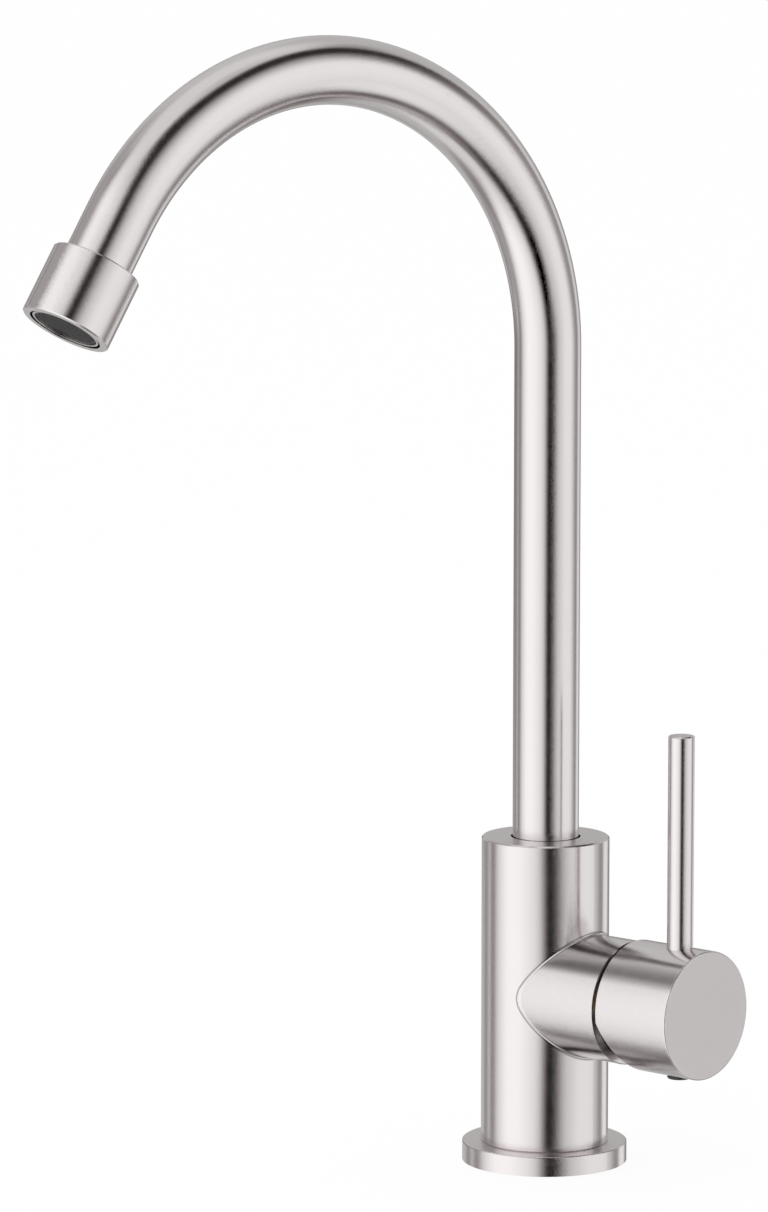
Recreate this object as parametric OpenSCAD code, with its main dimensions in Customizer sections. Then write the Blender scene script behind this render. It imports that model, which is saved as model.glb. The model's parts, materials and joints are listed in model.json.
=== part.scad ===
// Single-lever kitchen tap with a tall swivel spout and a side lever.
// The deck is the plane z = 0, the body stands on the Z axis, the boss points along +X
// and the sink lies towards -Y.

/* [Base] */
// Diameter of the ring under the body
base_d = 55; // [48:0.5:70]
// Height of the ring
base_h = 6.6; // [5:0.1:12]
// Rounding of the ring's upper edge
base_edge_r = 0.5; // [0.3:0.1:2]
// Diameter of the body's foot inside the ring
foot_d = 35; // [32:0.5:38]
// How far the foot stays above the deck
foot_lift = 0.6; // [0.3:0.1:1.5]
// Inner diameter of the gasket under the ring
gasket_id = 40; // [38:0.5:42]
// Outer diameter of the gasket under the ring
gasket_od = 46; // [44:0.5:47]
// Thickness of the gasket
gasket_h = 2; // [1:0.1:3]

/* [Body] */
// Diameter of the column
body_d = 42.5; // [40:0.5:46]
// Height of the column's flat top above the deck
body_top = 109.5; // [104:0.5:150]
// Bevel round the flat top
body_bevel = 0.5; // [0.2:0.1:1]
// Bevel where the column meets the ring
joint_bevel = 0.35; // [0.1:0.05:0.8]
// Diameter of the socket that the spout turns in
socket_d = 23.2; // [23:0.1:26]
// Depth of that socket
socket_depth = 31.5; // [30:0.5:31.5]

/* [Boss] */
// Diameter of the boss that holds the cartridge
boss_d = 41; // [40:0.5:42]
// Height of the boss's axis above the deck
boss_z = 58.2; // [52:0.2:58.2]
// Distance of the boss's end face from the body's axis
boss_end = 38; // [38:0.5:44]
// Bevel round the end face
boss_bevel = 0.3; // [0.1:0.05:0.6]
// Width of the groove where the boss meets the column
seam_w = 0.5; // [0.2:0.1:1]
// Depth of that groove
seam_depth = 0.4; // [0.2:0.1:0.8]

/* [Waterways] */
// Bore of the two threaded hose ports
port_d = 9; // [8:0.1:9.5]
// Depth of the hose ports
port_depth = 14; // [10:0.5:20]
// Distance of each hose port from the middle plane
port_y = 8.5; // [8.2:0.1:9]
// Distance of the hose ports from the body's axis along the boss
port_x = 1; // [0:0.1:1.5]
// Bore of the inlet ducts
inlet_d = 6.4; // [5:0.1:6.8]
// Bore of the outlet duct
outlet_d = 8; // [7:0.1:9]
// Distance of the outlet duct behind the body's axis
outlet_back = 6; // [5.5:0.1:6.5]
// Bore of the threaded stud hole
stud_d = 6.8; // [5:0.1:7]
// Depth of the stud hole
stud_depth = 18; // [10:0.5:25]
// Distance of the stud hole behind the body's axis
stud_back = 11; // [10:0.5:12]

/* [Spout] */
// Outer diameter of the tube
tube_d = 22; // [20:0.1:22.4]
// Wall of the tube
tube_wall = 1.5; // [1:0.1:2]
// Radius of the bend, to the middle of the tube
bend_r = 93; // [60:1:120]
// Height of the bend's centre above the deck
bend_z = 272.6; // [200:0.2:320]
// How far the bend goes round
bend_angle = 148; // [120:1:180]
// Straight run between the bend and the collar
outlet_run = 16.4; // [5:0.2:40]
// How far the spout is swung past the front, seen from above
spout_turn = 9.8; // [-90:0.2:90]

/* [Spout foot] */
// Length of the foot below the tube
spout_foot_h = 24; // [23.5:0.1:26]
// Length of the foot's spigot inside the tube
spigot_h = 10; // [6:0.5:20]
// Bore of the foot
foot_bore = 14; // [10:0.5:15]
// Thickness of the rubber rings
seal_t = 2.2; // [1.8:0.1:2.4]
// Height of the plastic bearing rings
slip_h = 2.6; // [2:0.1:2.8]
// Thickness of the plastic bearing rings
slip_t = 1.3; // [1:0.1:1.6]
// Land between two grooves of the foot
land_h = 1.2; // [1:0.1:1.3]
// Diameter of the grub screw that holds the foot
keeper_d = 5; // [4:0.5:5]
// Diameter of that screw's tip
keeper_tip_d = 2.4; // [2:0.1:2.6]
// How deep the screw's outer end stays in the column
keeper_inset = 3; // [0.5:0.1:4]

/* [Outlet] */
// Outer diameter of the collar
collar_d = 29; // [27:0.1:32]
// Length of the collar
collar_h = 23; // [21:0.5:30]
// Depth to which the tube enters the collar
collar_lap = 8; // [5:0.5:9]
// Bore of the collar round the aerator
collar_bore = 23.9; // [23.5:0.1:24.5]
// Lip that the tube's end and the washer seat on
collar_lip = 1.5; // [1:0.1:2]
// Bevel of the collar's edges
collar_bevel = 0.4; // [0.2:0.1:0.8]
// Diameter of the aerator's free rim
rim_d = 22.4; // [21.8:0.1:22.6]
// Width of that rim
rim_w = 0.7; // [0.5:0.1:1]
// Length of the aerator's thread
aerator_thread_h = 5; // [4:0.5:6]
// How deep the rim stays inside the collar
rim_inset = 0.3; // [0.1:0.1:1]
// How deep the screen stays inside the rim
screen_inset = 0.5; // [0.2:0.1:1]
// Thickness of the screen
screen_t = 0.8; // [0.5:0.1:1.5]
// Thickness of the rubber washer
washer_t = 1.8; // [1:0.1:2]
// Slots in the jet former
jet_slots = 16; // [8:1:20]

/* [Cartridge] */
// Diameter of the cartridge
cartridge_d = 35; // [34:0.1:35]
// Distance of the cartridge's seat from the body's axis
seat_x = 8; // [7.5:0.1:8]
// Thickness of the cartridge's base
base_t = 4; // [3.5:0.1:4]
// Thickness of each ceramic disc
disc_t = 3; // [2.5:0.1:3]
// Length of the housing's wide part
housing_h = 17; // [17:0.1:17.5]
// Outer diameter of the housing's neck
neck_d = 30; // [29.6:0.1:30]
// Length of the neck
neck_h = 7.2; // [7:0.1:7.4]
// Diameter of the driver inside the neck
rotor_d = 27; // [26.6:0.1:27]
// Distance between the stem's pivot and its ball end
ball_arm = 10.5; // [10.3:0.1:10.6]
// Diameter of the ball end
ball_d = 6; // [5.6:0.1:6]
// Side of the square stem
stem_side = 8; // [7.6:0.1:8.2]
// Diameter of the pin that the stem tilts on
pin_d = 3; // [2.6:0.1:3]
// Outer diameter of the ring nut
nut_d = 36; // [35.6:0.1:36.4]
// Slots in the ring nut's face
nut_slots = 6; // [4:1:8]

/* [Handle] */
// Diameter of the knob
knob_d = 42.5; // [42:0.5:46]
// Gap between the boss and the knob
knob_gap = 1.6; // [1.4:0.1:2.5]
// Length of the knob
knob_h = 29.6; // [28:0.2:40]
// Wall round the knob's hollow rear
knob_wall = 2.8; // [2.4:0.1:3.2]
// Depth of that hollow
knob_hollow = 10.4; // [10:0.1:12]
// Bevel of the knob's rear edge
knob_bevel = 0.35; // [0.1:0.05:0.8]
// Rounding of the knob's front edge
knob_edge_r = 0.5; // [0.2:0.1:1.5]
// Slant of the knob's relief cut
relief_angle = 23; // [22:0.5:28]
// Distance of the relief's upper end below the boss's axis
relief_drop = 2.5; // [2:0.1:3]
// Diameter of the lever
lever_d = 8.6; // [7:0.1:10]
// Length of the lever above the knob
lever_h = 70; // [50:0.5:100]
// Distance of the lever from the knob's flat end
lever_inset = 11.2; // [8:0.2:12]
// Diameter of the lever's threaded end
lever_end_d = 6; // [5:0.1:6.4]
// Depth of the lever's full diameter inside the knob
lever_seat = 7; // [5:0.2:9]
// Bevel at the lever's top
lever_bevel = 0.4; // [0.2:0.1:1]
// Diameter of the grub screw in the knob
grub_d = 5; // [4:0.5:5.5]
// Length of that screw
grub_h = 8; // [6:0.5:9]
// Diameter of the small plug's head
plug_d = 7.7; // [7:0.1:8.5]
// How far the plug stands out of the knob
plug_out = 1; // [0.5:0.1:1.5]

/* [Fits] */
// Radial play of parts that turn or slide
running_play = 0.05; // [0.02:0.01:0.08]
// Radial play of parts that are screwed or pushed together
seat_play = 0.05; // [0.02:0.01:0.08]
// Play at the sides of rings in their grooves
groove_play = 0.15; // [0.1:0.05:0.2]

/* [Hidden] */

$fn = 96;

// Overshoot of a cut past the face that it opens, and overlap of shapes that are joined
cut = 1;
// Free room past the inner end of a pin or a stem
end_gap = 0.5;
// How far a riser runs past the duct that crosses it
duct_over = 0.4;

// Body and base
base_r = base_d / 2;
body_r = body_d / 2;
boss_r = boss_d / 2;
foot_r = foot_d / 2;
socket_r = socket_d / 2;
socket_floor = body_top - socket_depth;

// Spout foot, from the socket's floor up
foot_z = socket_floor + groove_play;
foot_outer_r = socket_r - 2 * running_play;
slip_groove_h = slip_h + 2 * groove_play;
seal_groove_h = seal_t + 2 * groove_play;
keeper_groove_h = keeper_tip_d + 4 * groove_play;
slip_lower_z = foot_z + land_h;
seal_lower_z = slip_lower_z + slip_groove_h + land_h;
seal_upper_z = seal_lower_z + seal_groove_h + land_h;
keeper_z = seal_upper_z + seal_groove_h + land_h;
slip_upper_z = keeper_z + keeper_groove_h + land_h;
tube_z = foot_z + spout_foot_h;
tube_r = tube_d / 2;
tube_inner_r = tube_r - tube_wall;
slip_outer_r = socket_r - running_play;
slip_inner_r = slip_outer_r - slip_t;
// The straight run is drawn a hair thinner than the bend, and starts this far inside it
run_draw = 0.05;
run_lap = 0.5;
seal_outer_r = socket_r - running_play;
seal_mid_r = seal_outer_r - seal_t / 2;
seal_floor_r = seal_outer_r - seal_t - running_play;
keeper_floor_r = seal_floor_r;
keeper_axis_z = keeper_z + keeper_groove_h / 2;
keeper_tip_r = keeper_floor_r + 2 * groove_play;
keeper_tip_h = socket_r - keeper_tip_r + groove_play;
keeper_end_r = body_r - keeper_inset;

// Outlet, measured down the flow from the collar's upper face
collar_r = collar_d / 2;
collar_bore_r = collar_bore / 2;
washer_z = collar_lap + collar_lip;
shell_z = washer_z + washer_t;
rim_r = rim_d / 2;
rim_z = collar_h - rim_inset;
screen_z = rim_z - screen_inset - screen_t;
jet_drop = 1.5;
jet_z = shell_z + jet_drop;
jet_h = 3;
jet_hub_r = 4;
jet_rim_w = 2;
jet_slot_w = 0.9;
washer_reach = 0.5;
shell_r = collar_bore_r - seat_play;
shell_bore_r = rim_r - rim_w;

// Cartridge, measured along the boss from the body's axis
cartridge_r = cartridge_d / 2;
pocket_r = cartridge_r + 5 * seat_play;
disc_x = seat_x + base_t;
moving_x = disc_x + disc_t + running_play;
carrier_x = moving_x + disc_t;
housing_x = disc_x;
shoulder_x = housing_x + housing_h;
neck_end = shoulder_x + neck_h;
neck_r = neck_d / 2;
neck_bore_r = rotor_d / 2 + running_play;
housing_wall = 1.2;
housing_cavity_r = cartridge_r - seat_play - housing_wall;
roof_t = 2;
flange_top = shoulder_x - roof_t - running_play;
flange_t = 2.6;
flange_x = flange_top - flange_t;
flange_r = housing_cavity_r - 5 * running_play;
rotor_r = rotor_d / 2;
pivot_lift = 3;
pivot_x = shoulder_x + pivot_lift;
ball_x = pivot_x - ball_arm;
rotor_end = neck_end;
rotor_slot_w = stem_side + 2 * groove_play;
rotor_slot_l = 14;
rotor_seal_t = 1.8;
rotor_land_h = 0.6;
rotor_seal_x = flange_top + rotor_land_h;
rotor_bevel = 0.4;
pin_inset = 0.6;
pin_grip = 0.01;
jaw_gap = 20;
jaw_lift = 1;
jaw_x = carrier_x + jaw_lift;
carrier_gap = 0.4;
carrier_top = flange_x - carrier_gap;
carrier_r = 12.3;
carrier_offset = -1.8;
port_r = 2.6;
port_up = 4.5;
port_side = 7;
outlet_port_r = 3;
outlet_drop = 7;
seal_pocket_w = 1.9;
port_seal_h = 1.8;
locator_d = 3;
locator_h = 2.6;
locator_side = 11.5;
locator_drop = 3;
chamber_r = 10.3;
chamber_top = 2.7;
chamber_depth = 1.8;
peg_r = 1.4;
peg_h = 1.2;
peg_side = 6;
peg_play = 0.1;
ball_undercut = 0.5;
ball_flare = 1.5;
nut_r = nut_d / 2;
nut_bore_r = nut_r + seat_play;
nut_inset = 0.8;
nut_end = boss_end - nut_inset;
nut_bevel = 0.5;
nut_slot_w = 4;
nut_slot_depth = 2;

// Handle
knob_r = knob_d / 2;
knob_x = boss_end + knob_gap;
knob_end = knob_x + knob_h;
lever_x = knob_end - lever_inset;
lever_r = lever_d / 2;
stem_past = 1;
stem_end = lever_x + stem_side / 2 + stem_past;
socket_side = stem_side + 2 * seat_play;
knob_solid_x = knob_x + knob_hollow;
plug_r = plug_d / 2;
plug_step = 0.5;
plug_stem_r = grub_d / 2 + plug_step;
plug_stem_h = 4;
plug_sink = 1.2;
plug_seat = knob_r - plug_sink;
plug_bevel = 0.3;
lever_gap = 1;
grub_r = grub_d / 2;
hex_key = 2.5;
hex_depth = 3;
screw_bevel = 0.4;

steel = [0.76, 0.74, 0.71];
brass = [0.80, 0.68, 0.36];
rubber = [0.12, 0.12, 0.13];
ceramic = [0.95, 0.94, 0.90];
grey_plastic = [0.55, 0.56, 0.58];
white_plastic = [0.90, 0.90, 0.88];
dark_plastic = [0.16, 0.16, 0.17];

// Shapes that several pieces share

// Puts a shape drawn upwards from the plane z = 0 on the boss's axis
module along_boss(x = 0) {
    translate([x, 0, boss_z])
        rotate([0, 90, 0])
            children();
}

// Turns a profile of [radius, distance from the body's axis] round the boss's axis
module boss_turned(profile) {
    along_boss()
        rotate_extrude()
            polygon(profile);
}

// Round bore along the boss, at a place given from the boss's axis
module boss_bore(x1, x2, r, side = 0, up = 0) {
    translate([x1, side, boss_z + up])
        rotate([0, 90, 0])
            cylinder(r = r, h = x2 - x1);
}

module ring(r_out, r_in, h) {
    difference() {
        cylinder(r = r_out, h = h);
        translate([0, 0, -cut])
            cylinder(r = r_in, h = h + 2 * cut);
    }
}

module rubber_ring(mid_r, t) {
    rotate_extrude()
        translate([mid_r, 0])
            circle(d = t);
}

// Grub screw that lies upwards from z = 0, with a hexagon socket in its upper end
module grub_screw(r, h) {
    difference() {
        rotate_extrude()
            polygon([[0, 0], [r - screw_bevel, 0], [r, screw_bevel], [r, h - screw_bevel],
                     [r - screw_bevel, h], [0, h]]);
        translate([0, 0, h - hex_depth])
            cylinder(d = hex_key / cos(30), h = hex_depth + cut, $fn = 6);
    }
}

// Everything that swivels is drawn with its outlet towards +X and swung round to its place
module on_spout() {
    rotate([0, 0, -90 - spout_turn])
        children();
}

// Places a shape, drawn down the flow along +Z, past the lower end of the bend
module at_bend_end(run = 0) {
    translate([bend_r, 0, bend_z])
        rotate([0, bend_angle, 0])
            translate([-bend_r, 0, run])
                children();
}

module at_collar() {
    on_spout()
        at_bend_end(outlet_run)
            children();
}

// Body and base

module column() {
    rotate_extrude()
        polygon([[0, foot_lift], [foot_r, foot_lift], [foot_r, base_h],
                 [body_r - joint_bevel, base_h], [body_r, base_h + joint_bevel],
                 [body_r, body_top - body_bevel], [body_r - body_bevel, body_top], [0, body_top]]);
}

// The boss, with a narrow groove where it meets the column
module boss() {
    difference() {
        boss_turned([[0, 0], [boss_r, 0], [boss_r, boss_end - boss_bevel],
                     [boss_r - boss_bevel, boss_end], [0, boss_end]]);
        translate([0, 0, base_h])
            cylinder(r = body_r + seam_w, h = body_top - base_h);
    }
    along_boss()
        cylinder(r = boss_r - seam_depth, h = body_r + seam_w + cut);
}

// Pocket for the cartridge and its nut
module cartridge_pocket() {
    boss_turned([[0, seat_x], [pocket_r, seat_x], [pocket_r, shoulder_x],
                 [nut_bore_r, shoulder_x], [nut_bore_r, boss_end + cut], [0, boss_end + cut]]);
    for (side = [-1, 1])
        boss_bore(seat_x - locator_h - end_gap, seat_x + cut, locator_d / 2 + groove_play,
                  side * locator_side, -locator_drop);
}

// Hose port, riser and cross duct of one inlet
module inlet(side) {
    translate([port_x, side * port_y, foot_lift - cut])
        cylinder(d = port_d, h = port_depth + cut);
    translate([port_x, side * port_y, foot_lift])
        cylinder(d = inlet_d, h = boss_z + port_up + port_r + duct_over - foot_lift);
    translate([port_x, side * port_side, boss_z + port_up])
        rotate([0, 90, 0])
            cylinder(r = port_r, h = seat_x - port_x + cut);
}

// Cross duct and riser from the cartridge to the spout's socket
module outlet() {
    riser_z = boss_z - outlet_drop - outlet_port_r - duct_over;
    translate([-outlet_back, 0, boss_z - outlet_drop])
        rotate([0, 90, 0])
            cylinder(r = outlet_port_r, h = seat_x + outlet_back + cut);
    translate([-outlet_back, 0, riser_z])
        cylinder(d = outlet_d, h = socket_floor + cut - riser_z);
}

module tap_body() {
    color(steel)
        difference() {
            union() {
                column();
                boss();
            }
            cartridge_pocket();
            inlet(-1);
            inlet(1);
            outlet();
            translate([-stud_back, 0, foot_lift - cut])
                cylinder(d = stud_d, h = stud_depth + cut);
            translate([0, 0, socket_floor])
                cylinder(r = socket_r, h = socket_depth + cut);
            translate([0, socket_r - cut, keeper_axis_z])
                rotate([-90, 0, 0])
                    cylinder(d = keeper_d + 2 * seat_play, h = body_r - socket_r + 2 * cut);
        }
}

module base_ring() {
    color(steel)
        difference() {
            rotate_extrude()
                difference() {
                    union() {
                        square([base_r - base_edge_r, base_h]);
                        square([base_r, base_h - base_edge_r]);
                        translate([base_r - base_edge_r, base_h - base_edge_r])
                            circle(r = base_edge_r);
                    }
                    translate([-cut, -cut])
                        square([foot_r + seat_play + cut, base_h + 2 * cut]);
                }
            translate([0, 0, -cut])
                ring(gasket_od / 2 + groove_play, gasket_id / 2 - groove_play, gasket_h + cut);
        }
}

module base_gasket() {
    color(rubber)
        ring(gasket_od / 2, gasket_id / 2, gasket_h);
}

module spout_screw() {
    color(steel)
        translate([0, 0, keeper_axis_z])
            rotate([-90, 0, 0]) {
                translate([0, 0, keeper_tip_r])
                    cylinder(d = keeper_tip_d, h = keeper_tip_h + cut);
                translate([0, 0, keeper_tip_r + keeper_tip_h])
                    grub_screw(keeper_d / 2, keeper_end_r - keeper_tip_r - keeper_tip_h);
            }
}

// Cartridge, fixed pieces

// The three ports of the cartridge, as bores from x1 to x2 that are wider by grow
module ports(x1, x2, grow = 0) {
    for (side = [-1, 1])
        boss_bore(x1, x2, port_r + grow, side * port_side, port_up);
    boss_bore(x1, x2, outlet_port_r + grow, 0, -outlet_drop);
}

module cartridge_base() {
    color(grey_plastic)
        difference() {
            union() {
                boss_bore(seat_x, disc_x, cartridge_r - seat_play);
                for (side = [-1, 1])
                    boss_bore(seat_x - locator_h, disc_x, locator_d / 2,
                              side * locator_side, -locator_drop);
            }
            ports(seat_x - cut, disc_x + cut);
            ports(seat_x - cut, seat_x + port_seal_h, seal_pocket_w);
        }
}

module port_seals() {
    color(rubber)
        difference() {
            ports(seat_x, seat_x + port_seal_h, seal_pocket_w - seat_play);
            ports(seat_x - cut, seat_x + port_seal_h + cut, 4 * seat_play);
        }
}

module fixed_disc() {
    color(ceramic)
        difference() {
            boss_bore(disc_x, disc_x + disc_t, housing_cavity_r - seat_play);
            ports(disc_x - cut, disc_x + disc_t + cut);
        }
}

module cartridge_housing() {
    color(grey_plastic)
        boss_turned([[housing_cavity_r, housing_x], [cartridge_r - seat_play, housing_x],
                     [cartridge_r - seat_play, shoulder_x], [neck_r, shoulder_x],
                     [neck_r, neck_end], [neck_bore_r, neck_end],
                     [neck_bore_r, flange_top + running_play],
                     [housing_cavity_r, flange_top + running_play]]);
}

module cartridge_nut() {
    color(brass)
        difference() {
            boss_turned([[neck_r + seat_play, shoulder_x], [nut_r, shoulder_x],
                         [nut_r, nut_end - nut_bevel], [nut_r - nut_bevel, nut_end],
                         [neck_r + seat_play, nut_end]]);
            for (i = [0 : nut_slots - 1])
                along_boss(nut_end - nut_slot_depth)
                    rotate([0, 0, i * 360 / nut_slots])
                        translate([neck_r - cut, -nut_slot_w / 2, 0])
                            cube([nut_r - neck_r + 2 * cut, nut_slot_w, nut_slot_depth + cut]);
        }
}

// Cartridge, pieces that turn for temperature

// Driver with a slot for the stem and two jaws that turn the disc carrier
module cartridge_rotor() {
    groove_r = neck_bore_r - rotor_seal_t - 2 * running_play;
    groove_h = rotor_seal_t + 2 * groove_play;
    color(white_plastic)
        difference() {
            union() {
                boss_turned([[0, flange_x], [flange_r, flange_x], [flange_r, flange_top],
                             [rotor_r, flange_top], [rotor_r, rotor_seal_x],
                             [groove_r, rotor_seal_x], [groove_r, rotor_seal_x + groove_h],
                             [rotor_r, rotor_seal_x + groove_h],
                             [rotor_r, rotor_end - rotor_bevel],
                             [rotor_r - rotor_bevel, rotor_end], [0, rotor_end]]);
                difference() {
                    boss_bore(jaw_x, flange_x + flange_t / 2, flange_r);
                    translate([jaw_x - cut, -jaw_gap / 2, boss_z - flange_r - cut])
                        cube([flange_x - jaw_x + cut, jaw_gap, 2 * flange_r + 2 * cut]);
                }
            }
            translate([flange_x - cut, -rotor_slot_w / 2, boss_z - rotor_slot_l / 2])
                cube([rotor_end - flange_x + 2 * cut, rotor_slot_w, rotor_slot_l]);
            translate([pivot_x, -rotor_r - cut, boss_z])
                rotate([-90, 0, 0])
                    cylinder(d = pin_d + 2 * pin_grip, h = 2 * rotor_r + 2 * cut);
        }
}

module rotor_seal() {
    color(rubber)
        along_boss(rotor_seal_x + rotor_seal_t / 2 + groove_play)
            rubber_ring(neck_bore_r - running_play - rotor_seal_t / 2, rotor_seal_t);
}

module stem_pin() {
    pin_half = rotor_r - pin_inset;
    color(steel)
        translate([pivot_x, -pin_half, boss_z])
            rotate([-90, 0, 0])
                cylinder(d = pin_d, h = 2 * pin_half);
}

// Pieces that tilt for flow

// Square stem with an eye for the pin and a ball end in the carrier
module cartridge_stem() {
    eye_x = pivot_x - stem_side / 2;
    color(brass)
        difference() {
            union() {
                translate([eye_x, -stem_side / 2, boss_z - stem_side / 2])
                    cube([stem_end - eye_x, stem_side, stem_side]);
                boss_bore(ball_x, eye_x + cut, ball_d / 2 - ball_undercut);
                translate([ball_x, 0, boss_z])
                    sphere(d = ball_d);
            }
            translate([pivot_x, -stem_side, boss_z])
                rotate([-90, 0, 0])
                    cylinder(d = pin_d + 2 * running_play, h = 2 * stem_side);
        }
}

// Wedge that is cut off the lower part of the knob's rear, so that the knob can tilt
module relief() {
    reach = 2 * knob_d;
    translate([knob_x, 0, boss_z - relief_drop])
        rotate([0, -relief_angle, 0])
            translate([-reach, -reach / 2, -reach])
                cube([reach, reach, reach]);
}

module handle_knob() {
    hollow_r = knob_r - knob_wall;
    color(steel)
        difference() {
            along_boss()
                rotate_extrude()
                    union() {
                        polygon([[0, knob_solid_x], [hollow_r, knob_solid_x], [hollow_r, knob_x],
                                 [knob_r - knob_bevel, knob_x], [knob_r, knob_x + knob_bevel],
                                 [knob_r, knob_end - knob_edge_r],
                                 [knob_r - knob_edge_r, knob_end], [0, knob_end]]);
                        translate([knob_r - knob_edge_r, knob_end - knob_edge_r])
                            circle(r = knob_edge_r);
                    }
            relief();
            translate([knob_solid_x - cut, -socket_side / 2, boss_z - socket_side / 2])
                cube([stem_end + end_gap - knob_solid_x + cut, socket_side, socket_side]);
            translate([lever_x, 0, boss_z]) {
                cylinder(r = lever_end_d / 2 + seat_play, h = knob_r);
                translate([0, 0, knob_r - lever_seat])
                    cylinder(r = lever_r + 2 * seat_play, h = lever_seat + cut);
                rotate([180, 0, 0]) {
                    cylinder(r = grub_r + seat_play, h = knob_r);
                    translate([0, 0, stem_side / 2 + grub_h + end_gap])
                        cylinder(r = plug_stem_r + seat_play, h = knob_r);
                    translate([0, 0, plug_seat])
                        cylinder(r = plug_r + 2 * seat_play, h = knob_r);
                }
            }
        }
}

module lever_rod() {
    color(steel)
        translate([lever_x, 0, boss_z])
            rotate_extrude()
                polygon([[0, stem_side / 2 + lever_gap], [lever_end_d / 2, stem_side / 2 + lever_gap],
                         [lever_end_d / 2, knob_r - lever_seat], [lever_r, knob_r - lever_seat],
                         [lever_r, knob_r + lever_h - lever_bevel],
                         [lever_r - lever_bevel, knob_r + lever_h], [0, knob_r + lever_h]]);
}

module handle_screw() {
    color(steel)
        translate([lever_x, 0, boss_z - stem_side / 2])
            rotate([180, 0, 0])
                grub_screw(grub_r, grub_h);
}

module index_plug() {
    color(dark_plastic)
        translate([lever_x, 0, boss_z])
            rotate([180, 0, 0])
                rotate_extrude()
                    polygon([[0, plug_seat - plug_stem_h], [plug_stem_r, plug_seat - plug_stem_h],
                             [plug_stem_r, plug_seat], [plug_r, plug_seat],
                             [plug_r, knob_r + plug_out - plug_bevel],
                             [plug_r - plug_bevel, knob_r + plug_out], [0, knob_r + plug_out]]);
}

// Pieces that slide inside the cartridge

module disc_carrier() {
    ball_pocket_r = ball_d / 2 + 3 * running_play;
    color(white_plastic)
        difference() {
            union() {
                intersection() {
                    boss_bore(carrier_x, carrier_top, carrier_r, 0, carrier_offset);
                    translate([carrier_x - cut, -jaw_gap / 2 + 2 * running_play, boss_z - 2 * carrier_r])
                        cube([carrier_top - carrier_x + 2 * cut, jaw_gap - 4 * running_play, 4 * carrier_r]);
                }
                for (side = [-1, 1])
                    boss_bore(carrier_x - peg_h, carrier_x + cut, peg_r, side * peg_side, carrier_offset);
            }
            boss_bore(ball_x - ball_d / 2 - groove_play, carrier_top + cut, ball_pocket_r);
            along_boss(carrier_top - ball_flare)
                cylinder(r1 = ball_pocket_r, r2 = ball_pocket_r + ball_flare + cut,
                         h = ball_flare + cut);
        }
}

module moving_disc() {
    color(ceramic)
        difference() {
            boss_bore(moving_x, moving_x + disc_t, carrier_r, 0, carrier_offset);
            intersection() {
                boss_bore(moving_x - cut, moving_x + chamber_depth, chamber_r, 0, carrier_offset);
                translate([moving_x - cut, -carrier_r, boss_z + carrier_offset + chamber_top - 2 * carrier_r])
                    cube([chamber_depth + cut, 2 * carrier_r, 2 * carrier_r]);
            }
            for (side = [-1, 1])
                boss_bore(moving_x + disc_t - peg_h - peg_play, moving_x + disc_t + cut,
                          peg_r + peg_play, side * peg_side, carrier_offset);
        }
}

// Spout

// The straight rise, the bend and the straight run into the collar, as one solid bar
module tube_run(r, run_r) {
    translate([0, 0, tube_z])
        cylinder(r = r, h = bend_z - tube_z);
    translate([bend_r, 0, bend_z])
        rotate([90, 0, 0])
            rotate_extrude(angle = bend_angle, start = 180 - bend_angle)
                translate([bend_r, 0])
                    circle(r = r);
    at_bend_end(-run_lap)
        cylinder(r = run_r, h = outlet_run + collar_lap + run_lap);
}

module spout_tube() {
    color(steel)
        on_spout()
            difference() {
                tube_run(tube_r, tube_r - run_draw);
                tube_run(tube_inner_r, tube_inner_r + run_draw);
            }
}

// Turned foot with grooves for the rings and for the keeper screw
module spout_foot() {
    spigot_r = tube_inner_r - seat_play;
    slip_floor_r = slip_inner_r - running_play;
    bore_r = foot_bore / 2;
    color(brass)
        on_spout()
            difference() {
                rotate_extrude()
                    polygon([[bore_r, foot_z], [foot_outer_r, foot_z], [foot_outer_r, tube_z],
                             [spigot_r, tube_z], [spigot_r, tube_z + spigot_h],
                             [bore_r, tube_z + spigot_h]]);
                for (groove = [[slip_lower_z, slip_groove_h, slip_floor_r],
                               [seal_lower_z, seal_groove_h, seal_floor_r],
                               [seal_upper_z, seal_groove_h, seal_floor_r],
                               [keeper_z, keeper_groove_h, keeper_floor_r],
                               [slip_upper_z, slip_groove_h, slip_floor_r]])
                    translate([0, 0, groove[0]])
                        ring(socket_r, groove[2], groove[1]);
            }
}

module foot_seal(z) {
    color(rubber)
        on_spout()
            translate([0, 0, z + seal_groove_h / 2])
                rubber_ring(seal_mid_r, seal_t);
}

module foot_seal_lower() {
    foot_seal(seal_lower_z);
}

module foot_seal_upper() {
    foot_seal(seal_upper_z);
}

module slip_ring(z) {
    color(white_plastic)
        on_spout()
            translate([0, 0, z + groove_play])
                ring(slip_outer_r, slip_inner_r, slip_h);
}

module slip_ring_lower() {
    slip_ring(slip_lower_z);
}

module slip_ring_upper() {
    slip_ring(slip_upper_z);
}

// Outlet

module aerator_collar() {
    color(steel)
        at_collar()
            rotate_extrude()
                polygon([[tube_r + seat_play, 0], [collar_r - collar_bevel, 0],
                         [collar_r, collar_bevel], [collar_r, collar_h - collar_bevel],
                         [collar_r - collar_bevel, collar_h], [collar_bore_r, collar_h],
                         [collar_bore_r, washer_z], [tube_inner_r, washer_z],
                         [tube_inner_r, collar_lap], [tube_r + seat_play, collar_lap]]);
}

module aerator_washer() {
    color(rubber)
        at_collar()
            translate([0, 0, washer_z])
                ring(collar_bore_r - 4 * seat_play, tube_inner_r - washer_reach, washer_t);
}

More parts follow.
